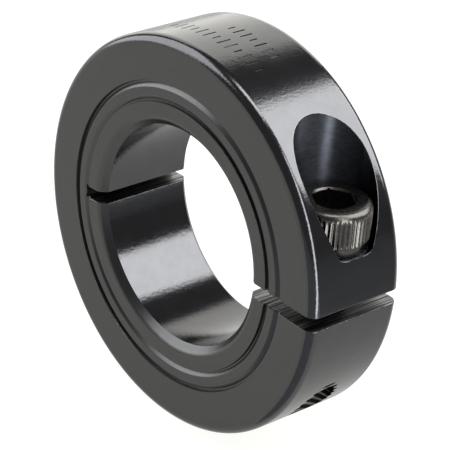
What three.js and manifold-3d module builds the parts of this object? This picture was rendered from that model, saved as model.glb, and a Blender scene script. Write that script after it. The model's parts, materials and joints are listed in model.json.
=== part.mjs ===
// One-piece clamp shaft collar for a 30 mm shaft, closed by an M6 socket head cap screw.
//
// Frame: the bore axis is Y and the origin is on it, half way through the ring. The grooved
// front face looks along -Y. The clamp slit opens towards +X, and the screw crosses it along Z
// with its head up. Lengths are in millimetres.
//
// The real ring is one piece of steel that bends at the web, the thin stretch behind the
// relief slot. Here it is two jaws, parted at the web, so that one can turn on the other.

import * as THREE from 'three';
import { mergeVertices } from 'three/addons/utils/BufferGeometryUtils.js';
import Module from 'manifold-3d';

// The ring's section.
const OUTER_RADIUS = 27;
const BORE_RADIUS = 15;
const WIDTH = 15;
const EDGE_ROUND = 1.3;
const BORE_CHAMFER = 1;
const FACE_GROOVES = [
  { inner: 18.15, outer: 18.75, depth: 0.35 },
  { inner: 20.1, outer: 21, depth: 0.45 },
];
const GROOVE_FLANK = 0.25; // each sloping flank's share of the groove's width

// The two saw cuts. The relief slot lies a little below the line of the clamp slit.
const SLIT_WIDTH = 1.9;
const RELIEF_WIDTH = 1.6;
const RELIEF_DEPTH_RADIUS = 18.75;
const RELIEF_TILT = THREE.MathUtils.degToRad(4.3);
const WEB_GAP = 0.3;

// The screw's holes.
const SCREW_X = 21;
const SEAT_Z = 7;
const COUNTERBORE_RADIUS = 5.65;
const CLEARANCE_RADIUS = 3.4;

// The screw, M6 x 16.
const HEAD_RADIUS = 5;
const HEAD_HEIGHT = 5.9;
const HEAD_TOP_CHAMFER = 0.5;
const HEAD_FOOT_CHAMFER = 0.3;
const SEAT_GAP = 0.3;
const SHANK_RADIUS = 3;
const SHANK_LENGTH = 16;
const TIP_CHAMFER = 0.6;
const SOCKET_ACROSS_FLATS = 5;
const SOCKET_DEPTH = 3;

// How finely round shapes are cut up.
const RING_SIDES = 96;
const ROUND_STEPS = 3;
const HOLE_SIDES = 32;
const SCREW_SIDES = 32;

const PAST = 1; // how far a cutter runs on past the face it opens
const MERGE_DISTANCE = 1e-4;
const REACH = OUTER_RADIUS + PAST;
const HALF_WIDTH = WIDTH / 2;

const wasm = await Module();
wasm.setup();

// A closed three.js geometry as a solid that can be cut and joined.
function toSolid(geometry) {
  const bare = geometry.clone();
  bare.deleteAttribute('normal');
  bare.deleteAttribute('uv');
  const merged = mergeVertices(bare, MERGE_DISTANCE);
  const vertProperties = new Float32Array(merged.getAttribute('position').array);
  const triVerts = new Uint32Array(merged.getIndex().array);
  return new wasm.Manifold(new wasm.Mesh({ numProp: 3, vertProperties, triVerts }));
}

// A solid as a three.js geometry again.
function toGeometry(solid) {
  const { vertProperties, triVerts } = solid.getMesh();
  const geometry = new THREE.BufferGeometry();
  geometry.setAttribute('position', new THREE.BufferAttribute(vertProperties, 3));
  geometry.setIndex(new THREE.BufferAttribute(triVerts, 1));
  return geometry;
}

// Points along a quarter circle in a lathe profile, both ends included.
function quarterRound(centreRadius, centreHeight, radius, fromAngle) {
  const points = [];
  for (let step = 0; step <= ROUND_STEPS; step += 1) {
    const angle = fromAngle + (Math.PI / 2) * (step / ROUND_STEPS);
    const across = centreRadius + radius * Math.cos(angle);
    const along = centreHeight + radius * Math.sin(angle);
    points.push(new THREE.Vector2(across, along));
  }
  return points;
}

// The four corners of one shallow groove in the front face.
function grooveProfile({ inner, outer, depth }) {
  const flank = (outer - inner) * GROOVE_FLANK;
  return [
    new THREE.Vector2(inner, -HALF_WIDTH),
    new THREE.Vector2(inner + flank, -HALF_WIDTH + depth),
    new THREE.Vector2(outer - flank, -HALF_WIDTH + depth),
    new THREE.Vector2(outer, -HALF_WIDTH),
  ];
}

// The turned blank: bore, chamfers, grooved front face and rounded outer edges.
function makeBlank() {
  const roundRadius = OUTER_RADIUS - EDGE_ROUND;
  const roundHeight = HALF_WIDTH - EDGE_ROUND;
  const profile = [
    new THREE.Vector2(BORE_RADIUS, HALF_WIDTH - BORE_CHAMFER),
    new THREE.Vector2(BORE_RADIUS, -HALF_WIDTH + BORE_CHAMFER),
    new THREE.Vector2(BORE_RADIUS + BORE_CHAMFER, -HALF_WIDTH),
    ...FACE_GROOVES.flatMap(grooveProfile),
    ...quarterRound(roundRadius, -roundHeight, EDGE_ROUND, -Math.PI / 2),
    ...quarterRound(roundRadius, roundHeight, EDGE_ROUND, 0),
    new THREE.Vector2(BORE_RADIUS + BORE_CHAMFER, HALF_WIDTH),
  ];
  profile.push(profile[0].clone());
  return toSolid(new THREE.LatheGeometry(profile, RING_SIDES));
}

// A saw cut from radius `from` to radius `to`, out along +X and then turned about the bore.
function makeSawCut(width, from, to, turn) {
  const cut = new THREE.BoxGeometry(to - from, WIDTH + 2 * PAST, width);
  cut.translate((from + to) / 2, 0, 0);
  cut.rotateY(turn);
  return toSolid(cut);
}

// A round hole along the screw's axis, between two heights.
function makeHole(radius, bottom, top) {
  const hole = new THREE.CylinderGeometry(radius, radius, top - bottom, HOLE_SIDES);
  hole.rotateX(Math.PI / 2);
  hole.translate(SCREW_X, 0, (bottom + top) / 2);
  return toSolid(hole);
}

// The ring with its slit, relief slot and screw holes, parted at the web.
function makeSplitRing() {
  const reliefTurn = Math.PI - RELIEF_TILT;
  const cutters = [
    makeSawCut(SLIT_WIDTH, BORE_RADIUS - 2 * PAST, REACH, 0),
    makeSawCut(RELIEF_WIDTH, BORE_RADIUS - 2 * PAST, RELIEF_DEPTH_RADIUS, reliefTurn),
    makeSawCut(WEB_GAP, RELIEF_DEPTH_RADIUS - PAST, REACH, reliefTurn),
    makeHole(COUNTERBORE_RADIUS, SEAT_Z, REACH),
    makeHole(CLEARANCE_RADIUS, -REACH, SEAT_Z + PAST),
  ];
  return cutters.reduce((ring, cutter) => ring.subtract(cutter), makeBlank());
}

// Everything above the slit and above the middle of the relief slot.
function makeUpperSide() {
  const corner = 2 * OUTER_RADIUS;
  const outline = new THREE.Shape([
    new THREE.Vector2(0, 0),
    new THREE.Vector2(corner, 0),
    new THREE.Vector2(corner, corner),
    new THREE.Vector2(-corner, corner),
    new THREE.Vector2(-corner, -corner * Math.tan(RELIEF_TILT)),
  ]);
  const depth = WIDTH + 2 * PAST;
  const side = new THREE.ExtrudeGeometry(outline, { depth, bevelEnabled: false });
  side.translate(0, 0, -depth / 2);
  side.rotateX(Math.PI / 2);
  return toSolid(side);
}

// The hex socket that takes the key, open at the top of the head.
function makeSocket() {
  const cornerRadius = SOCKET_ACROSS_FLATS / Math.sqrt(3);
  const height = SOCKET_DEPTH + PAST;
  const socket = new THREE.CylinderGeometry(cornerRadius, cornerRadius, height, 6);
  socket.rotateX(Math.PI / 2);
  socket.translate(0, 0, HEAD_HEIGHT + PAST - height / 2);
  return toSolid(socket);
}

// The screw about its own axis, with the underside of its head at height 0.
function makeScrew() {
  const profile = [
    new THREE.Vector2(0, -SHANK_LENGTH),
    new THREE.Vector2(SHANK_RADIUS - TIP_CHAMFER, -SHANK_LENGTH),
    new THREE.Vector2(SHANK_RADIUS, -SHANK_LENGTH + TIP_CHAMFER),
    new THREE.Vector2(SHANK_RADIUS, 0),
    new THREE.Vector2(HEAD_RADIUS - HEAD_FOOT_CHAMFER, 0),
    new THREE.Vector2(HEAD_RADIUS, HEAD_FOOT_CHAMFER),
    new THREE.Vector2(HEAD_RADIUS, HEAD_HEIGHT - HEAD_TOP_CHAMFER),
    new THREE.Vector2(HEAD_RADIUS - HEAD_TOP_CHAMFER, HEAD_HEIGHT),
    new THREE.Vector2(0, HEAD_HEIGHT),
  ];
  const body = new THREE.LatheGeometry(profile, SCREW_SIDES);
  body.rotateX(Math.PI / 2);
  return toSolid(body).subtract(makeSocket());
}

function makeMesh(name, solid, material) {
  const mesh = new THREE.Mesh(toGeometry(solid), material);
  mesh.name = name;
  return mesh;
}

const ringSteel = new THREE.MeshStandardMaterial({ color: 0x2c2c30, roughness: 0.3, metalness: 0.9 });
const screwSteel = new THREE.MeshStandardMaterial({ color: 0x3b3935, roughness: 0.4, metalness: 0.9 });

const splitRing = makeSplitRing();
const upperSide = makeUpperSide();

const ring = new THREE.Group();
ring.add(makeMesh('lower_jaw', splitRing.subtract(upperSide), ringSteel.clone()));
ring.add(makeMesh('upper_jaw', splitRing.intersect(upperSide), ringSteel.clone()));

const screw = makeMesh('clamp_screw', makeScrew(), screwSteel);
screw.position.set(SCREW_X, 0, SEAT_Z + SEAT_GAP);

const collar = new THREE.Group();
collar.add(ring, screw);

export default collar;
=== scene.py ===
# %% [markdown]
# # A one-piece clamping shaft collar in black oxide
# The collar is a thick steel ring with one saw cut. A socket head cap screw crosses the cut and pulls
# the two jaws together, so that the bore grips a shaft. A second, blind slot on the far side thins the
# wall into a web that bends like a hinge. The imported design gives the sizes, the joints and the frame.
# This lesson makes the fine surface around it: the turned ring, the real threads, the knurled screw
# head and the finishes. Blender works in metres, so a millimetre gets a name of its own.

# %% Load the fixed frame
import json
import math

import bmesh
import bpy
from mathutils import Matrix, Vector


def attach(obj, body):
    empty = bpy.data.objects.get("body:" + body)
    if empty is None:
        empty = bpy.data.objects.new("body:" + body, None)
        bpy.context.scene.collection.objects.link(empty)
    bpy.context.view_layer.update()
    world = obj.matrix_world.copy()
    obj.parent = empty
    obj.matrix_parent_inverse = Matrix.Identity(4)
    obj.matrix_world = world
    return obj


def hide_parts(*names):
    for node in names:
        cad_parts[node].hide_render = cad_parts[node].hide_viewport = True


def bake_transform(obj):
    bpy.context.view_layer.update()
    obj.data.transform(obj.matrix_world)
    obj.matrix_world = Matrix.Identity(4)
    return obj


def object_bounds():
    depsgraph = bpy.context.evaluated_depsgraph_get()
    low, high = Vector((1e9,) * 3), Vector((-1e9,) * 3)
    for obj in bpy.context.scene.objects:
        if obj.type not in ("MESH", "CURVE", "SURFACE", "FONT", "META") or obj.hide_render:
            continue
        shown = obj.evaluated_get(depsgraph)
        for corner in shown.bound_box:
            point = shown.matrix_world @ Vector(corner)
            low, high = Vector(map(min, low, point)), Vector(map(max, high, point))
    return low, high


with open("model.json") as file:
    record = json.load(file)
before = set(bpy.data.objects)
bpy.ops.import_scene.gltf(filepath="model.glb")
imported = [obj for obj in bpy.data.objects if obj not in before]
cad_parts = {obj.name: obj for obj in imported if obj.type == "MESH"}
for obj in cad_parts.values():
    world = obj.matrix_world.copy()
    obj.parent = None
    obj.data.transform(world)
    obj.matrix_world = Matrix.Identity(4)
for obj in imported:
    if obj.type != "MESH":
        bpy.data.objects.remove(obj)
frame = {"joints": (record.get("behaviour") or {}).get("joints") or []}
cad_low, cad_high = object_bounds()
MM = 0.001
print("CAD box", [round(c / MM, 2) for c in cad_high - cad_low], "mm")

# %% [markdown]
# ## Camera
# The collar stands on its rim and is seen from the front right and from above. A long lens from about
# 28 cm keeps the far edge almost as wide as the near one, as in a catalogue picture. The camera is
# placed by an azimuth, an elevation, a distance and a small roll, because those are the four things
# that a photographer sets on a tripod.

# %% Camera
VIEW_AZIMUTH = math.radians(47.7)
VIEW_ELEVATION = math.radians(28.2)
VIEW_ROLL = math.radians(4.8)
VIEW_DISTANCE = 284 * MM
AIM_POINT = Vector((0.8, 0.75, -0.15)) * MM
LENS = 172.1


def place_camera():
    """Puts the camera on its sphere round the aim point, looking in, and rolls it."""
    level = math.cos(VIEW_ELEVATION)
    back = Vector((math.sin(VIEW_AZIMUTH) * level, -math.cos(VIEW_AZIMUTH) * level, math.sin(VIEW_ELEVATION)))
    data = bpy.data.cameras.new("studio_camera")
    data.lens = LENS
    data.clip_start = 10 * MM
    camera = bpy.data.objects.new("studio_camera", data)
    bpy.context.scene.collection.objects.link(camera)
    camera.rotation_mode = "QUATERNION"
    turn = (-back).to_track_quat("-Z", "Y")
    roll = Matrix.Rotation(VIEW_ROLL, 3, "Z").to_quaternion()
    camera.rotation_quaternion = turn @ roll
    camera.location = AIM_POINT + back * VIEW_DISTANCE
    bpy.context.scene.camera = camera
    return camera


camera = place_camera()
print("camera at", [round(c / MM, 1) for c in camera.location], "mm")

# %% [markdown]
# ## Sizes
# The frame already knows the outside of the ring and where the screw sits, so those are read from it.
# What is left are the shop sizes of the drawing: a 30 mm bore, the widths of the two cuts, the
# counterbore for an M6 screw and the turned rings on the front face. Everything below is worked out
# from these values.

# %% Sizes of the ring
OUTER_RADIUS = cad_high.z
WIDTH = cad_high.y - cad_low.y
FRONT = cad_low.y
BACK = cad_high.y
BORE_RADIUS = 15 * MM
EDGE_ROUND = 1.3 * MM
BORE_CHAMFER = 1.0 * MM
SLIT_WIDTH = 1.9 * MM
RELIEF_WIDTH = 1.6 * MM
RELIEF_END_RADIUS = 18.75 * MM
RELIEF_TILT = math.radians(4.3)
SCREW_AXIS_X = Vector(next(j["pos_m"] for j in frame["joints"] if j["name"] == "screw_turn")).x
SEAT_Z = 7.0 * MM
COUNTERBORE_RADIUS = 5.65 * MM
COUNTERBORE_CORNER = 0.7 * MM
print("ring", round(2 * OUTER_RADIUS / MM, 2), "x", round(WIDTH / MM, 2), "mm")
print("screw at x", round(SCREW_AXIS_X / MM, 2), "mm")

# %% [markdown]
# ## Turning a profile
# A lathe makes the ring, so the ring is modelled as a lathe does it: one closed outline, swept round
# the axis. The outline is written as the corners of the drawing, each with the radius of the tool that
# rounds it, and a short function turns every corner into an arc. Next to each arc it keeps one extra
# point on the straight side. That point holds the smooth shading of the arc away from the flat, so the
# flat stays optically flat. A cube with bevels could not give the grooves, and a sculpt would not run true.

# %% Outline helper and spin helper
HOLD = 0.06 * MM


def rounded_outline(corners, step=math.radians(9)):
    """Closed outline from (across, along, radius) corners: each corner becomes an arc with holding points."""
    points = []
    count = len(corners)
    for i, (a, b, radius) in enumerate(corners):
        here = Vector((a, b))
        before = Vector(corners[i - 1][:2])
        after = Vector(corners[(i + 1) % count][:2])
        if radius == 0:
            points.append(here)
            continue
        to_before = (before - here).normalized()
        to_after = (after - here).normalized()
        opening = to_before.angle(to_after)
        tangent = radius / math.tan(opening / 2)
        centre = here + (to_before + to_after).normalized() * radius / math.sin(opening / 2)
        start = here + to_before * tangent - centre
        end = here + to_after * tangent - centre
        turn = math.pi - opening
        side = math.copysign(1, start.cross(end))
        steps = max(2, math.ceil(turn / step))
        if (before - here).length > tangent + 4 * HOLD:
            points.append(here + to_before * (tangent + HOLD))
        for k in range(steps + 1):
            spoke = start.copy()
            spoke.rotate(Matrix.Rotation(side * turn * k / steps, 2))
            points.append(centre + spoke)
        if (after - here).length > tangent + 4 * HOLD:
            points.append(here + to_after * (tangent + HOLD))
    return points


def spun(outline, axis, steps):
    """A closed solid of revolution: outline points are (radius, place along the axis)."""
    bm = bmesh.new()
    lift = Vector(axis)
    verts = [bm.verts.new(Vector((p.x, 0, 0)) + lift * p.y) for p in outline]
    pairs = zip(verts, verts[1:] + verts[:1])
    edges = [bm.edges.new(pair) for pair in pairs]
    bmesh.ops.spin(
        bm, geom=verts + edges, cent=(0, 0, 0), axis=axis, angle=2 * math.pi, steps=steps, use_merge=True,
    )
    bmesh.ops.remove_doubles(bm, verts=bm.verts, dist=0.001 * MM)
    bmesh.ops.dissolve_degenerate(bm, edges=bm.edges, dist=0.0005 * MM)
    loose = [edge for edge in bm.edges if not edge.link_faces]
    bmesh.ops.delete(bm, geom=loose, context="EDGES")
    bmesh.ops.recalc_face_normals(bm, faces=bm.faces)
    return bm


# %% [markdown]
# ## The turned ring
# On the front face two rings are turned between flat lands. Each groove has one steep wall and one long
# soft slope, so the land between them reads as a rounded bead. The rim has a generous round on both
# sides, and the bore opens with a chamfer whose outer corner the tumbling has softened. The back face is
# plain. Each face of the mesh remembers which tool made it, as a material number, because the finishes
# differ: faced, turned on the rim, bored, milled, sawn, tapped, worn and stamped.

# %% The ring blank
RING_STEPS = 360
FACED, RIM, BORED, MILLED, SAWN, TAPPED, WORN, STAMPED = range(8)
BEAD_SOFTNESS = 0.3 * MM
CHAMFER_SOFTNESS = 1.0 * MM
INNER_GROOVE = (18.15 * MM, 18.95 * MM, 0.35 * MM, 0.10 * MM, 0.50 * MM)
OUTER_GROOVE = (20.1 * MM, 21.0 * MM, 0.42 * MM, 0.55 * MM, 0.14 * MM)


def groove(inner, outer, depth, inner_flank, outer_flank):
    """Corners of one turned groove in the front face, from its inner to its outer edge."""
    floor = FRONT + depth
    inner_softness = BEAD_SOFTNESS if inner_flank > outer_flank else 0
    outer_softness = BEAD_SOFTNESS if outer_flank > inner_flank else 0
    return [
        (inner, FRONT, inner_softness),
        (inner + inner_flank, floor, 0),
        (outer - outer_flank, floor, 0),
        (outer, FRONT, outer_softness),
    ]


def ring_blank():
    """The ring as it leaves the lathe, before any cut."""
    corners = [
        (BORE_RADIUS, FRONT + BORE_CHAMFER, 0),
        (BORE_RADIUS + BORE_CHAMFER, FRONT, CHAMFER_SOFTNESS),
        *groove(*INNER_GROOVE),
        *groove(*OUTER_GROOVE),
        (OUTER_RADIUS, FRONT, EDGE_ROUND),
        (OUTER_RADIUS, BACK, EDGE_ROUND),
        (BORE_RADIUS + BORE_CHAMFER, BACK, CHAMFER_SOFTNESS),
        (BORE_RADIUS, BACK - BORE_CHAMFER, 0),
    ]
    bm = spun(rounded_outline(corners), (0, 1, 0), RING_STEPS)
    for face in bm.faces:
        spot = face.calc_center_median()
        radius = math.hypot(spot.x, spot.z)
        if radius < OUTER_RADIUS - EDGE_ROUND and abs(spot.y) > WIDTH / 2 - BORE_CHAMFER:
            face.material_index = FACED
        elif radius < OUTER_RADIUS - EDGE_ROUND:
            face.material_index = BORED
        else:
            face.material_index = RIM
    return bm


blank = ring_blank()
print("ring blank:", len(blank.faces), "faces, volume", round(blank.calc_volume() / MM**3), "mm3")

# %% [markdown]
# ## Threads
# A screw thread is a profile that climbs while it turns, so it is spun with a step along the axis. The
# strip that this makes is longer than needed. Two flat cuts bring it to length and the ends are filled,
# which gives a closed solid. The screw and the tapped hole use the same function and the same phase, and
# the hole is a little larger all over, so the thread runs in the hole with a real clearance.

# %% Thread helper
THREAD_PITCH = 1.0 * MM
THREAD_STEPS = 32
FLANK_SLOPE = math.tan(math.radians(30))


def threaded_rod(minor, major, crest, low, high):
    """Closed right-hand threaded solid on the screw's axis. Its crests are at the pitch's middle."""
    flank = (major - minor) * FLANK_SLOPE
    root = (THREAD_PITCH - crest - 2 * flank) / 2
    start = math.floor(low / THREAD_PITCH - 2) * THREAD_PITCH
    turns = math.ceil((high - start) / THREAD_PITCH) + 1
    shape = [(minor, 0), (minor, root), (major, root + flank), (major, root + flank + crest)]
    shape += [(minor, THREAD_PITCH - root), (minor, THREAD_PITCH)]
    bm = bmesh.new()
    verts = [bm.verts.new((radius, 0, start + rise)) for radius, rise in shape]
    edges = [bm.edges.new(pair) for pair in zip(verts, verts[1:])]
    climb = (0, 0, THREAD_PITCH / THREAD_STEPS)
    bmesh.ops.spin(
        bm, geom=verts + edges, cent=(0, 0, 0), axis=(0, 0, 1), dvec=climb,
        angle=2 * math.pi * turns, steps=THREAD_STEPS * turns,
    )
    bmesh.ops.remove_doubles(bm, verts=bm.verts, dist=0.002 * MM)
    for height, outward in ((low, -1), (high, 1)):
        geometry = bm.verts[:] + bm.edges[:] + bm.faces[:]
        cut = {"dist": 0.0005 * MM, "plane_co": (0, 0, height), "plane_no": (0, 0, outward)}
        bmesh.ops.bisect_plane(bm, geom=geometry, clear_outer=True, **cut)
    rims = [edge for edge in bm.edges if edge.is_boundary]
    bmesh.ops.holes_fill(bm, edges=rims, sides=0)
    bmesh.ops.recalc_face_normals(bm, faces=bm.faces)
    bmesh.ops.translate(bm, verts=bm.verts, vec=(SCREW_AXIS_X, 0, 0))
    return bm


print("thread pitch", round(THREAD_PITCH / MM, 2), "mm in", THREAD_STEPS, "steps a turn")

# %% [markdown]
# ## The cutters
# Every cut of the workshop is a solid taken away from the blank: the saw cut, the relief slot, the
# counterbore and the clearance hole in the upper jaw, and the tapped hole in the lower one. The exact
# boolean solver keeps the long facets of the ring whole and carries the material number of each cutter
# over to the wall that it leaves. The rim also carries a stamped mark. Here it is only plain strokes.

# %% Cutters
PAST = 2 * MM
STAMP_DEPTH = 0.12 * MM
STAMP_WIDTH = 0.28 * MM
STAMP_STEP = 3
STAMP_ROWS = ((-2.2 * MM, 2.2 * MM, 73, 111), (1.5 * MM, 2.0 * MM, 76, 96))
SHORT_STROKE = 0.6
HOLE_STEPS = 96
CLEARANCE_RADIUS = 3.3 * MM
TAP_MINOR = 2.68 * MM
TAP_MAJOR = 3.12 * MM
TAP_CREST = 0.22 * MM


def finished_mesh(bm, name):
    """Writes a bmesh into a mesh object and frees it."""
    mesh = bpy.data.meshes.new(name)
    bm.to_mesh(mesh)
    bm.free()
    piece = bpy.data.objects.new(name, mesh)
    bpy.context.scene.collection.objects.link(piece)
    return piece


def with_number(bm, number):
    """Gives every face of a cutter its material number."""
    for face in bm.faces:
        face.material_index = number
    return bm


def block(low, high):
    """A box between two corners."""
    bm = bmesh.new()
    bmesh.ops.create_cube(bm, size=1)
    size = Vector(high) - Vector(low)
    bmesh.ops.scale(bm, verts=bm.verts, vec=size)
    bmesh.ops.translate(bm, verts=bm.verts, vec=(Vector(high) + Vector(low)) / 2)
    return bm


def cone(radius_low, radius_high, low, high, steps):
    """A cone or a bar on the screw's axis between two heights."""
    bm = bmesh.new()
    bmesh.ops.create_cone(
        bm, cap_ends=True, segments=steps, radius1=radius_low, radius2=radius_high, depth=high - low,
    )
    bmesh.ops.translate(bm, verts=bm.verts, vec=(SCREW_AXIS_X, 0, (high + low) / 2))
    return bm


def counterbore():
    """The end mill: a cylinder whose lower corner is rounded."""
    corners = [
        (0, SEAT_Z, 0),
        (COUNTERBORE_RADIUS, SEAT_Z, COUNTERBORE_CORNER),
        (COUNTERBORE_RADIUS, OUTER_RADIUS + PAST, 0),
        (0, OUTER_RADIUS + PAST, 0),
    ]
    bm = spun(rounded_outline(corners), (0, 0, 1), HOLE_STEPS)
    bmesh.ops.translate(bm, verts=bm.verts, vec=(SCREW_AXIS_X, 0, 0))
    return with_number(bm, MILLED)


def saw_cut():
    """The full cut through one side of the ring."""
    low = (BORE_RADIUS - PAST, FRONT - PAST, -SLIT_WIDTH / 2)
    high = (OUTER_RADIUS + PAST, BACK + PAST, SLIT_WIDTH / 2)
    return with_number(block(low, high), SAWN)


def relief_slot():
    """The blind slot from the bore outwards, a little off the line opposite the saw cut."""
    low = (-RELIEF_END_RADIUS, FRONT - PAST, -RELIEF_WIDTH / 2)
    high = (-BORE_RADIUS + PAST, BACK + PAST, RELIEF_WIDTH / 2)
    bm = with_number(block(low, high), SAWN)
    tilt = Matrix.Rotation(-RELIEF_TILT, 3, "Y")
    bmesh.ops.rotate(bm, verts=bm.verts, cent=(0, 0, 0), matrix=tilt)
    return bm


def tapped_hole():
    """The thread in the lower jaw, from the saw cut out through the rim."""
    bm = threaded_rod(TAP_MINOR, TAP_MAJOR, TAP_CREST, -OUTER_RADIUS + PAST, 0)
    return with_number(bm, TAPPED)


def stamped_mark():
    """Two rows of plain strokes, like a batch mark, as boxes that dip into the top of the rim."""
    bm = bmesh.new()
    for row_y, stroke, first, last in STAMP_ROWS:
        for number, angle in enumerate(range(first, last, STAMP_STEP)):
            length = stroke * (1 if number % 3 else SHORT_STROKE)
            middle = Matrix.Translation((OUTER_RADIUS - STAMP_DEPTH + PAST / 2, row_y, 0))
            size = Matrix.Diagonal((PAST, length, STAMP_WIDTH, 1))
            turn = Matrix.Rotation(math.radians(-angle), 4, "Y")
            bmesh.ops.create_cube(bm, size=1, matrix=turn @ middle @ size)
    return with_number(bm, STAMPED)


print("clearance hole", round(2 * CLEARANCE_RADIUS / MM, 2), "mm")
print("tapped hole", round(2 * TAP_MAJOR / MM, 2), "mm")

# %% [markdown]
# ## Cutting the ring
# The cuts run in the order of a workshop: the ring is sawn and slotted, then the counterbore, the
# clearance hole and the thread follow on one axis, and the mark is stamped last. Each one is a boolean
# modifier that is baked into the mesh at once, so the next cut meets a plain mesh.

# %% Cut the ring
CLEARANCE_STEPS = 64


def carve(piece, cutter, operation="DIFFERENCE"):
    """Applies one exact boolean to a mesh object and throws the cutter away."""
    tool = finished_mesh(cutter, "cutter")
    modifier = piece.modifiers.new("cut", "BOOLEAN")
    modifier.operation = operation
    modifier.solver = "EXACT"
    modifier.object = tool
    depsgraph = bpy.context.evaluated_depsgraph_get()
    cut_mesh = bpy.data.meshes.new_from_object(piece.evaluated_get(depsgraph))
    piece.modifiers.clear()
    old_mesh = piece.data
    piece.data = cut_mesh
    bpy.data.meshes.remove(old_mesh)
    bpy.data.objects.remove(tool)


clamp_ring = finished_mesh(blank, "clamp_ring")
carve(clamp_ring, saw_cut())
carve(clamp_ring, relief_slot())
carve(clamp_ring, counterbore())
clearance_hole = cone(CLEARANCE_RADIUS, CLEARANCE_RADIUS, 0, SEAT_Z + PAST, CLEARANCE_STEPS)
carve(clamp_ring, with_number(clearance_hole, MILLED))
carve(clamp_ring, tapped_hole())
carve(clamp_ring, stamped_mark())
print("cut ring:", len(clamp_ring.data.polygons), "faces")

# %% [markdown]
# ## Breaking the edges
# No sharp edge leaves a workshop: a brush or a tumbling drum takes a tenth of a millimetre off it, and
# that narrow strip is what catches the light. The cut left some points closer together than that, so
# they are merged first, and then every outward edge of the cuts is bevelled. The strip stays flat shaded
# by its own sharp borders, so it doesn't bend the shading of the wide faces beside it.

# %% Break the edges and set the shading
EDGE_BREAK = 0.08 * MM
CLOSE = 0.03 * MM
BREAK_ANGLE = math.radians(40)
SHADE_ANGLE = math.radians(20)


def break_edges(piece, untouched):
    """Bevels the outward sharp edges, apart from those of faces whose material number is untouched."""
    bm = bmesh.new()
    bm.from_mesh(piece.data)
    bmesh.ops.remove_doubles(bm, verts=bm.verts, dist=CLOSE)
    bmesh.ops.dissolve_degenerate(bm, edges=bm.edges, dist=0.001 * MM)
    bm.normal_update()
    sharp = []
    for edge in bm.edges:
        if not edge.is_manifold or not edge.is_convex:
            continue
        numbers = {face.material_index for face in edge.link_faces}
        turned_by_design = numbers <= {FACED, BORED}
        if edge.calc_face_angle() > BREAK_ANGLE and not numbers & untouched and not turned_by_design:
            sharp.append(edge)
    strips = bmesh.ops.bevel(
        bm, geom=sharp, offset=EDGE_BREAK, offset_type="OFFSET", segments=2, profile=0.5,
        affect="EDGES", clamp_overlap=False, material=-1,
    )
    for face in strips["faces"]:
        face.material_index = WORN
    bm.to_mesh(piece.data)
    bm.free()
    return len(sharp)


def shade(piece, angle):
    """Smooth shading, with every edge that turns by more than the angle kept sharp."""
    bm = bmesh.new()
    bm.from_mesh(piece.data)
    for face in bm.faces:
        face.smooth = True
    for edge in bm.edges:
        edge.smooth = edge.is_manifold and edge.calc_face_angle() < angle
    bm.to_mesh(piece.data)
    bm.free()


print("broken edges:", break_edges(clamp_ring, {TAPPED, STAMPED}))
shade(clamp_ring, SHADE_ANGLE)

# %% [markdown]
# ## The cap screw
# An M6 socket head cap screw is forged, knurled and rolled. The head is a turned outline with a soft
# rim: forging never leaves a corner there. Its lower band stays plain and tapers to the seat. The knurl
# pulls the upper band inwards in a wave round the head, which gives rounded ridges and valleys. They fade
# out at both ends, as a knurling wheel leaves them.

# %% The screw head
HEAD_RADIUS = 5.0 * MM
HEAD_TOP = SEAT_Z + 6.15 * MM
HEAD_FOOT = SEAT_Z + 0.03 * MM
HEAD_RIM = 1.0 * MM
PLAIN_BAND = 1.45 * MM
FOOT_RADIUS = 4.55 * MM
KNURL_RIDGES = 48
KNURL_DEPTH = 0.15 * MM
KNURL_ROWS = 14
STEPS_PER_RIDGE = 6
FADE_FOOT = 0.06
FADE_TOP = 0.15
FADE_END = 1.04
SOCKET_WIDTH = 5.0 * MM
SOCKET_DEPTH = 3.0 * MM
NECK_RADIUS = 2.9 * MM


def screw_head():
    """The forged head as a solid of revolution on the screw's axis, knurled on its upper band."""
    knurl_top = HEAD_TOP - HEAD_RIM * 0.75
    knurl_foot = HEAD_FOOT + PLAIN_BAND
    knurl_height = knurl_top - knurl_foot
    heights = [knurl_foot + knurl_height * k / KNURL_ROWS for k in range(1, KNURL_ROWS)]
    corners = [
        (0, HEAD_FOOT, 0),
        (FOOT_RADIUS, HEAD_FOOT, 0.15 * MM),
        (HEAD_RADIUS - 0.22 * MM, knurl_foot, 0.1 * MM),
        (HEAD_RADIUS, knurl_foot + 0.12 * MM, 0),
        *[(HEAD_RADIUS, height, 0) for height in heights],
        (HEAD_RADIUS, HEAD_TOP, HEAD_RIM),
        (0, HEAD_TOP, 0),
    ]
    bm = spun(rounded_outline(corners), (0, 0, 1), KNURL_RIDGES * STEPS_PER_RIDGE)
    ridge_angle = 2 * math.pi / KNURL_RIDGES
    for vert in bm.verts:
        radius = math.hypot(vert.co.x, vert.co.y)
        if radius < HEAD_RADIUS - 0.3 * MM or vert.co.z < knurl_foot:
            continue
        share = math.atan2(vert.co.y, vert.co.x) / ridge_angle % 1
        valley = 0.5 - 0.5 * math.cos(2 * math.pi * share)
        height = (vert.co.z - knurl_foot) / knurl_height
        fade = min(1, height / FADE_FOOT, max(0, FADE_END - height) / FADE_TOP)
        pull = 1 - KNURL_DEPTH * valley * max(0, fade) / radius
        vert.co.x *= pull
        vert.co.y *= pull
    bmesh.ops.translate(bm, verts=bm.verts, vec=(SCREW_AXIS_X, 0, 0))
    return bm


cap_screw = finished_mesh(screw_head(), "cap_screw")
print("screw head:", len(cap_screw.data.polygons), "faces")

# %% [markdown]
# ## Socket, shank and thread
# The hexagon is broached into a drilled hole, so its floor ends in a shallow cone and its mouth has a
# countersink. The shank is a rolled thread that runs almost to the head. Its end is the overlap of the
# thread with a chamfered bar, which turns the last crest into a clean cone, the way a real tip looks.

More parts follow.
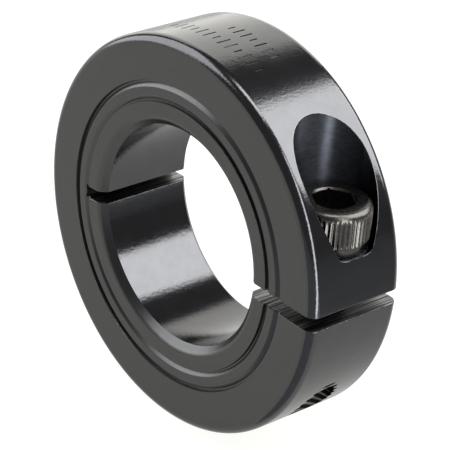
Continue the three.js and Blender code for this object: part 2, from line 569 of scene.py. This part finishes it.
# %% Socket, shank and thread
SCREW_LENGTH = 16 * MM
SHANK_TIP = SEAT_Z + 0.3 * MM - SCREW_LENGTH
TIP_CHAMFER = 0.7 * MM
SCREW_MINOR = 2.39 * MM
SCREW_MAJOR = 2.95 * MM
SCREW_CREST = 0.12 * MM
SHANK_STEPS = 48
SHANK_OVERLAP = 0.5 * MM
MOUTH_DEPTH = 0.22 * MM
MOUTH_MARGIN = 0.05 * MM
MOUTH_STEPS = 64
DRILL_POINT = 0.9 * MM
DRILL_SHARE = 0.86
HEAD_SHADE_ANGLE = math.radians(28)


def tip_envelope():
    """A chamfered bar: what is left of the thread inside it is the finished shank."""
    radius = SCREW_MAJOR + 0.05 * MM
    corners = [
        (0, SHANK_TIP, 0),
        (radius - TIP_CHAMFER, SHANK_TIP, 0),
        (radius, SHANK_TIP + TIP_CHAMFER, 0),
        (radius, HEAD_FOOT + SHANK_OVERLAP, 0),
        (0, HEAD_FOOT + SHANK_OVERLAP, 0),
    ]
    bm = spun(rounded_outline(corners), (0, 0, 1), SHANK_STEPS)
    bmesh.ops.translate(bm, verts=bm.verts, vec=(SCREW_AXIS_X, 0, 0))
    return bm


thread = threaded_rod(SCREW_MINOR, SCREW_MAJOR, SCREW_CREST, SHANK_TIP - PAST, HEAD_FOOT + PAST)
shank = finished_mesh(thread, "shank")
carve(shank, tip_envelope(), "INTERSECT")
shank_bm = bmesh.new()
shank_bm.from_mesh(shank.data)
bpy.data.objects.remove(shank)
carve(cap_screw, shank_bm, "UNION")
neck = cone(NECK_RADIUS, NECK_RADIUS, HEAD_FOOT - 0.6 * MM, HEAD_FOOT + 0.4 * MM, SHANK_STEPS)
carve(cap_screw, neck, "UNION")
hexagon = SOCKET_WIDTH / math.sqrt(3)
socket_floor = HEAD_TOP - SOCKET_DEPTH
carve(cap_screw, cone(hexagon, hexagon, socket_floor, HEAD_TOP + PAST, 6))
drill_foot = socket_floor - DRILL_POINT
carve(cap_screw, cone(0.1 * MM, hexagon * DRILL_SHARE, drill_foot, socket_floor + 0.01 * MM, SHANK_STEPS))
mouth = hexagon + MOUTH_MARGIN
mouth_cone = cone(mouth - MOUTH_DEPTH, mouth + PAST, HEAD_TOP - MOUTH_DEPTH, HEAD_TOP + PAST, MOUTH_STEPS)
carve(cap_screw, mouth_cone)
shade(cap_screw, HEAD_SHADE_ANGLE)
print("cap screw:", len(cap_screw.data.polygons), "faces")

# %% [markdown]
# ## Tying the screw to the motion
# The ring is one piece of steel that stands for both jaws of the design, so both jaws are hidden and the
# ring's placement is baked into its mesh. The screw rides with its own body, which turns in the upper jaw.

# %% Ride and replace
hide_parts("lower_jaw", "upper_jaw")
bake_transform(clamp_ring)
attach(cap_screw, "clamp_screw")
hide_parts("clamp_screw")

# %% [markdown]
# ## Black oxide
# Black oxide is a thin dark magnetite skin on bright steel. It reflects only about a tenth of the light
# straight on and far more at a glancing angle, with hardly any colour, so it is a metal with a very dark
# base colour. What separates one surface from the next is mostly the tool mark under the skin; the milled
# walls also get a darker colour, which is painted shade. Each finish is the same function with its own
# marks: noise that is stretched along the path of the tool, used for the bump and, more gently, for the
# roughness and the tone.

# %% Node helpers
TO_MM = 1 / MM


def add(tree, kind, inputs=None, **settings):
    """Adds a node, with its settings, and fills or links its sockets."""
    made = tree.nodes.new(kind)
    for name, value in settings.items():
        setattr(made, name, value)
    for socket, value in (inputs or {}).items():
        if isinstance(value, bpy.types.NodeSocket):
            tree.links.new(value, made.inputs[socket])
        else:
            made.inputs[socket].default_value = value
    return made


def maths(tree, operation, first, second=0.0, clamp=False):
    """One arithmetic node."""
    made = add(tree, "ShaderNodeMath", {0: first, 1: second}, operation=operation, use_clamp=clamp)
    return made.outputs[0]


def place_in_mm(tree, centre=(0, 0, 0)):
    """The object coordinates in millimetres from a centre, as x, y and z sockets."""
    spot = add(tree, "ShaderNodeTexCoord").outputs["Object"]
    shift = Vector(centre) * -TO_MM
    settings = {"Vector": spot, "Location": shift, "Scale": (TO_MM, TO_MM, TO_MM)}
    centred = add(tree, "ShaderNodeMapping", settings).outputs[0]
    return add(tree, "ShaderNodeSeparateXYZ", {0: centred}).outputs


def distance_from_axis(tree, a, b):
    """How far a point is from an axis, from its two coordinates across that axis."""
    pair = add(tree, "ShaderNodeCombineXYZ", {0: a, 1: b}).outputs[0]
    return add(tree, "ShaderNodeVectorMath", {0: pair}, operation="LENGTH").outputs["Value"]


def marks(tree, across, along, fine, stretch, detail=3.0):
    """Noise with `fine` lines per millimetre across the tool path, drawn out along it by `stretch`."""
    lines = maths(tree, "MULTIPLY", across, fine)
    runs = [maths(tree, "MULTIPLY", way, fine / stretch) for way in along]
    vector = add(tree, "ShaderNodeCombineXYZ", {0: lines, 1: runs[0], 2: runs[1]}).outputs[0]
    settings = {"Vector": vector, "Scale": 1.0, "Detail": detail, "Roughness": 0.6}
    noise = add(tree, "ShaderNodeTexNoise", settings)
    return noise.outputs[0]


def harder(tree, value, gain):
    """More contrast for a 0 to 1 value, round its middle."""
    raised = maths(tree, "MULTIPLY", maths(tree, "SUBTRACT", value, 0.5), gain)
    return maths(tree, "ADD", raised, 0.5, clamp=True)


def between(tree, value, low, high):
    """Spreads a 0 to 1 value over a range."""
    settings = {"Value": value, "From Min": 0.3, "From Max": 0.7, "To Min": low, "To Max": high}
    return add(tree, "ShaderNodeMapRange", settings).outputs[0]


def tone(tree, value, dark, light):
    """A colour between two, by a 0 to 1 value."""
    ramp = add(tree, "ShaderNodeValToRGB", {0: value})
    ramp.color_ramp.elements[0].position = 0.3
    ramp.color_ramp.elements[0].color = (*dark, 1)
    ramp.color_ramp.elements[1].position = 0.7
    ramp.color_ramp.elements[1].color = (*light, 1)
    return ramp.outputs[0]


def bumped(tree, layers):
    """Stacks bump layers, each a (height, depth in metres) pair, and returns the normal."""
    normal = None
    for height, depth in layers:
        inputs = {"Height": height, "Distance": depth, "Strength": 1.0}
        if normal is not None:
            inputs["Normal"] = normal
        normal = add(tree, "ShaderNodeBump", inputs).outputs[0]
    return normal


def steel(name, paint, ring_marks=0.0):
    """A metal: paint(tree) gives its colour, roughness and normal, ring_marks an upright gloss."""
    material = bpy.data.materials.new(name)
    material.use_nodes = True
    tree = material.node_tree
    shader = tree.nodes["Principled BSDF"]
    shader.inputs["Metallic"].default_value = 1.0
    colour, roughness, normal = paint(tree)
    for socket, value in (("Base Color", colour), ("Roughness", roughness), ("Normal", normal)):
        tree.links.new(value, shader.inputs[socket])
    if ring_marks:
        shader.inputs["Anisotropic"].default_value = ring_marks
        upright = add(tree, "ShaderNodeCombineXYZ", {2: 1.0}).outputs[0]
        tree.links.new(upright, shader.inputs["Tangent"])
    return material


# %% [markdown]
# ## The turned finishes
# The rim was turned and then tumbled, so short marks and a soft grain cover it, and they fray the borders
# of a reflection. The faces carry rings about the bore's axis. The bore is finer than the rim, because it
# has to fit a shaft.

# %% Turned finishes
OXIDE_DARK = (0.088, 0.088, 0.089)
OXIDE_LIGHT = (0.098, 0.098, 0.099)


def rim_finish(tree):
    """Turned and tumbled: short marks over a soft grain."""
    x, y, z = place_in_mm(tree)
    lines = marks(tree, y, (x, z), 3.0, 1.6, detail=4.0)
    grain = marks(tree, y, (x, z), 1.1, 0.35, detail=5.0)
    cloud = marks(tree, y, (x, z), 0.35, 1.0, detail=4.0)
    colour = tone(tree, cloud, OXIDE_DARK, OXIDE_LIGHT)
    roughness = between(tree, cloud, 0.13, 0.16)
    normal = bumped(tree, [(lines, 0.0140 * MM), (grain, 0.0120 * MM)])
    return colour, roughness, normal


def faced_finish(tree):
    """Fine rings about the bore's axis."""
    x, y, z = place_in_mm(tree)
    radius = distance_from_axis(tree, x, z)
    lines = marks(tree, radius, (x, z), 6.0, 40.0)
    grain = marks(tree, radius, (x, z), 2.0, 1.5, detail=6.0)
    colour = tone(tree, lines, (0.089, 0.089, 0.087), (0.099, 0.099, 0.097))
    roughness = between(tree, grain, 0.29, 0.35)
    normal = bumped(tree, [(lines, 0.0020 * MM), (grain, 0.0030 * MM)])
    return colour, roughness, normal


def bored_finish(tree):
    """Fine marks round the bore over a soft grain."""
    x, y, z = place_in_mm(tree)
    lines = marks(tree, y, (x, z), 8.0, 12.0)
    grain = marks(tree, y, (x, z), 2.2, 1.0, detail=5.0)
    cloud = marks(tree, y, (x, z), 0.5, 1.0, detail=4.0)
    colour = tone(tree, cloud, OXIDE_DARK, OXIDE_LIGHT)
    roughness = between(tree, cloud, 0.09, 0.12)
    normal = bumped(tree, [(lines, 0.0040 * MM), (grain, 0.0180 * MM)])
    return colour, roughness, normal


print("turned oxide tone", OXIDE_DARK, "to", OXIDE_LIGHT)

# %% [markdown]
# ## The cut finishes
# The counterbore shows the steps of an end mill, so its gloss is drawn upright. Its colour, and that of the
# clearance hole, is darker than the turned oxide: painted shade for these recesses. The two slots show a
# coarse slitting saw, which leaves strokes from the front face to the back. Thread crests and broken edges
# lose some of their oxide to handling.

# %% Cut finishes
MILLED_GLOSS = 0.9


def milled_finish_painted_shade(tree):
    """The steps of an end mill, ring above ring, in a darker colour that is painted shade."""
    x, y, z = place_in_mm(tree, (SCREW_AXIS_X, 0, 0))
    lines = marks(tree, z, (x, y), 4.5, 40.0)
    grain = marks(tree, z, (x, y), 3.0, 3.0)
    # This colour range sits below the turned oxide: painted shade in the counterbore and the clearance hole.
    colour = tone(tree, grain, (0.042, 0.044, 0.050), (0.066, 0.070, 0.080))
    roughness = between(tree, lines, 0.38, 0.48)
    normal = bumped(tree, [(lines, 0.006 * MM), (grain, 0.002 * MM)])
    return colour, roughness, normal


def sawn_finish(tree):
    """Coarse strokes across the width, black between worn ridges."""
    x, y, z = place_in_mm(tree)
    lines = harder(tree, marks(tree, x, (y, z), 3.2, 45.0, detail=4.0), 2.4)
    grain = marks(tree, x, (y, z), 2.0, 3.0, detail=5.0)
    colour = tone(tree, lines, (0.020, 0.020, 0.021), (0.230, 0.226, 0.222))
    roughness = between(tree, grain, 0.32, 0.44)
    normal = bumped(tree, [(lines, 0.030 * MM), (grain, 0.004 * MM)])
    return colour, roughness, normal


def tapped_finish(tree):
    """A thread that is black in its roots and grey on its crests."""
    x, y, z = place_in_mm(tree, (SCREW_AXIS_X, 0, 0))
    radius = distance_from_axis(tree, x, y)
    crest = add(
        tree, "ShaderNodeMapRange",
        {
            "Value": radius, "From Min": TAP_MAJOR / MM, "From Max": TAP_MINOR / MM,
            "To Min": 0.3, "To Max": 0.7,
        },
    ).outputs[0]
    grain = marks(tree, z, (x, y), 4.0, 6.0)
    colour = tone(tree, crest, (0.050, 0.046, 0.042), (0.190, 0.180, 0.168))
    roughness = between(tree, grain, 0.25, 0.38)
    normal = bumped(tree, [(grain, 0.003 * MM)])
    return colour, roughness, normal


def worn_finish(tree):
    """A broken edge where the oxide has rubbed off in places."""
    x, y, z = place_in_mm(tree)
    grain = marks(tree, x, (y, z), 1.4, 1.0, detail=5.0)
    colour = tone(tree, grain, (0.07, 0.07, 0.072), (0.20, 0.198, 0.195))
    roughness = between(tree, grain, 0.22, 0.34)
    normal = bumped(tree, [(grain, 0.002 * MM)])
    return colour, roughness, normal


ring_finishes = {
    "oxide_faced": faced_finish,
    "oxide_turned_rim": rim_finish,
    "oxide_bored": bored_finish,
    "oxide_milled_painted_shade": milled_finish_painted_shade,
    "oxide_sawn": sawn_finish,
    "oxide_tapped": tapped_finish,
    "oxide_worn_edge": worn_finish,
    "oxide_stamped": sawn_finish,
}
for name, paint in ring_finishes.items():
    ring_marks = MILLED_GLOSS if paint is milled_finish_painted_shade else 0.0
    clamp_ring.data.materials.append(steel(name, paint, ring_marks))
print("ring finishes:", [m.name for m in clamp_ring.data.materials])

# %% [markdown]
# ## The finish of the screw
# The screw comes from another maker and another bath: its oxide is browner and a little rougher. The
# ridges of the knurl are rubbed towards grey while the valleys stay black, so the tone follows the
# distance from the screw's own axis.

# %% Finish of the screw
def screw_finish(tree):
    """Browner oxide, grey on the ridges of the knurl."""
    x, y, z = place_in_mm(tree, (SCREW_AXIS_X, 0, 0))
    radius = distance_from_axis(tree, x, y)
    valley = (HEAD_RADIUS - KNURL_DEPTH) / MM
    height = add(
        tree, "ShaderNodeMapRange",
        {"Value": radius, "From Min": valley, "From Max": HEAD_RADIUS / MM, "To Min": 0.3, "To Max": 0.7},
    ).outputs[0]
    grain = marks(tree, x, (y, z), 2.2, 1.0, detail=5.0)
    mixed = maths(tree, "ADD", maths(tree, "MULTIPLY", height, 0.8), maths(tree, "MULTIPLY", grain, 0.2))
    colour = tone(tree, mixed, (0.070, 0.066, 0.060), (0.200, 0.188, 0.168))
    roughness = between(tree, grain, 0.24, 0.34)
    normal = bumped(tree, [(grain, 0.003 * MM)])
    return colour, roughness, normal


cap_screw.data.materials.clear()
cap_screw.data.materials.append(steel("oxide_screw", screw_finish))
print("screw finish:", [m.name for m in cap_screw.data.materials])

# %% [markdown]
# ## Floor and room
# The collar stands on a pale table. The table glows like a light table, so it stays white right up to the
# steel, but the steel mirrors it a little darker, as it would a table with falling light. The room around
# is grey.

# %% Floor and room
FLOOR_HALF = 1500 * MM
FLOOR_GLOW = 0.97
FLOOR_MIRRORED = 0.62
FLOOR_PAINT = 0.14
ROOM_GREY = (0.17, 0.17, 0.18, 1)
WALL_WHITE = (0.9, 0.9, 0.9, 1)


def make_floor():
    """The pale table, a plane just under the ring."""
    bm = bmesh.new()
    bmesh.ops.create_grid(bm, x_segments=1, y_segments=1, size=FLOOR_HALF)
    bmesh.ops.translate(bm, verts=bm.verts, vec=(0, 0, cad_low.z - 0.05 * MM))
    floor = finished_mesh(bm, "studio_floor")
    material = bpy.data.materials.new("studio_floor")
    material.use_nodes = True
    shader = material.node_tree.nodes["Principled BSDF"]
    shader.inputs["Base Color"].default_value = (FLOOR_PAINT, FLOOR_PAINT, FLOOR_PAINT, 1)
    shader.inputs["Roughness"].default_value = 0.9
    shader.inputs["Specular IOR Level"].default_value = 0.0
    shader.inputs["Emission Color"].default_value = (1.0, 0.995, 0.97, 1)
    seen = add(material.node_tree, "ShaderNodeLightPath").outputs["Is Camera Ray"]
    settings = {"Value": seen, "To Min": FLOOR_MIRRORED, "To Max": FLOOR_GLOW}
    glow = add(material.node_tree, "ShaderNodeMapRange", settings).outputs[0]
    material.node_tree.links.new(glow, shader.inputs["Emission Strength"])
    floor.data.materials.append(material)


def world_light():
    """A grey room for the steel, with a white wall for the camera."""
    world = bpy.data.worlds.new("studio_room")
    bpy.context.scene.world = world
    world.use_nodes = True
    tree = world.node_tree
    background = tree.nodes["Background"]
    seen = add(tree, "ShaderNodeLightPath").outputs["Is Camera Ray"]
    settings = {"Fac": seen, "Color1": ROOM_GREY, "Color2": WALL_WHITE}
    mix = add(tree, "ShaderNodeMixRGB", settings)
    tree.links.new(mix.outputs[0], background.inputs["Color"])


bpy.context.scene.view_settings.view_transform = "Standard"
make_floor()
world_light()
print("floor", round(2 * FLOOR_HALF), "m wide")

# %% [markdown]
# ## Dark cards
# A photographer lays dark cards beside a shiny part to give it dark edges. One lies behind on the right
# and darkens the rim above the saw cut. The other lies in front on the right and darkens the front edge
# round. Only the gloss of the steel sees them.

# %% Dark cards
def dark_card(name, low_x, high_x, low_y, high_y, glow):
    """A dark card lying on the floor that only shows in the gloss of the steel."""
    bm = bmesh.new()
    bmesh.ops.create_grid(bm, x_segments=1, y_segments=1, size=0.5)
    bmesh.ops.scale(bm, verts=bm.verts, vec=(high_x - low_x, high_y - low_y, 1))
    middle = ((low_x + high_x) / 2, (low_y + high_y) / 2, cad_low.z + 0.5 * MM)
    bmesh.ops.translate(bm, verts=bm.verts, vec=middle)
    card = finished_mesh(bm, name)
    material = bpy.data.materials.new(name)
    material.use_nodes = True
    shader = material.node_tree.nodes["Principled BSDF"]
    shader.inputs["Base Color"].default_value = (0.02, 0.02, 0.02, 1)
    shader.inputs["Roughness"].default_value = 0.9
    shader.inputs["Emission Color"].default_value = (0.88, 0.91, 1.0, 1)
    shader.inputs["Emission Strength"].default_value = glow
    card.data.materials.append(material)
    card.visible_camera = False
    card.visible_diffuse = False
    card.visible_shadow = False
    card.visible_transmission = False


dark_card("card_back_right", 60 * MM, FLOOR_HALF, 26 * MM, FLOOR_HALF, 0.27)
dark_card("card_front_right", 17 * MM, FLOOR_HALF, -FLOOR_HALF, -9 * MM, 0.36)

# %% [markdown]
# ## Studio light
# A black shiny thing shows nothing but its surroundings, so the light is built from what the collar
# should mirror. Two panels stand behind it, a near one to the right and a far one to the left, with a
# dark gap between them: the rim mirrors both, and the gap gives the black band near the top. A panel at
# the front left draws the chamfer and the grooves, and a small one overhead draws the upper edge. A strip
# close by on the right leaves an upright highlight in the wall of the counterbore.

# %% Panels and strip
def rectangle_light(name, width, length, radiance, colour, place):
    """An area light of a given radiance, so that its mirror image has the same brightness at any size."""
    data = bpy.data.lights.new(name, "AREA")
    data.shape = "RECTANGLE"
    data.size = width
    data.size_y = length
    data.energy = radiance * math.pi * width * length
    data.color = colour
    panel = bpy.data.objects.new(name, data)
    bpy.context.scene.collection.objects.link(panel)
    panel.matrix_world = place
    panel.visible_camera = False
    return panel


def light_panel(name, round_angle, reach, width, length, radiance, colour, depth=0.59):
    """A soft panel at an angle round the bore, from +X towards +Z. Depth is its share towards +Y."""
    level = math.sqrt(1 - depth * depth)
    a = math.radians(round_angle)
    direction = Vector((level * math.cos(a), depth, level * math.sin(a)))
    sideways = Vector((-math.sin(a), 0, math.cos(a)))
    other = direction.cross(sideways)
    turn = Matrix((sideways, other, direction)).transposed()
    place = Matrix.Translation(direction * reach) @ turn.to_4x4()
    rectangle_light(name, width, length, radiance, colour, place)


def standing_strip(name, azimuth, reach, width, height, radiance):
    """A narrow strip light that stands near the screw and only shows in the gloss of the steel."""
    a = math.radians(azimuth)
    middle = (SCREW_AXIS_X + reach * math.cos(a), reach * math.sin(a), cad_low.z + height / 2)
    facing = Matrix.Rotation(a, 4, "Z") @ Matrix.Rotation(math.radians(90), 4, "Y")
    place = Matrix.Translation(middle) @ facing
    strip = rectangle_light(name, height, width, radiance, (0.93, 0.96, 1.0), place)
    strip.visible_diffuse = False


light_panel("panel_right", 61.8, 0.19, 0.146, 0.2, 5.8, (0.96, 0.975, 1.0))
light_panel("panel_left", 166.5, 0.9, 1.12, 0.9, 1.75, (1.0, 0.99, 0.94))
light_panel("panel_front", 153, 0.9, 1.08, 0.7, 3.2, (0.95, 0.96, 1.0), depth=-0.46)
light_panel("panel_top", 88, 0.9, 0.36, 0.36, 6.0, (1.0, 1.0, 1.0), depth=0.0)
standing_strip("strip_right", -8, 0.06, 0.016, 0.15, 6.5)
print("lights:", [light.name for light in bpy.data.lights])
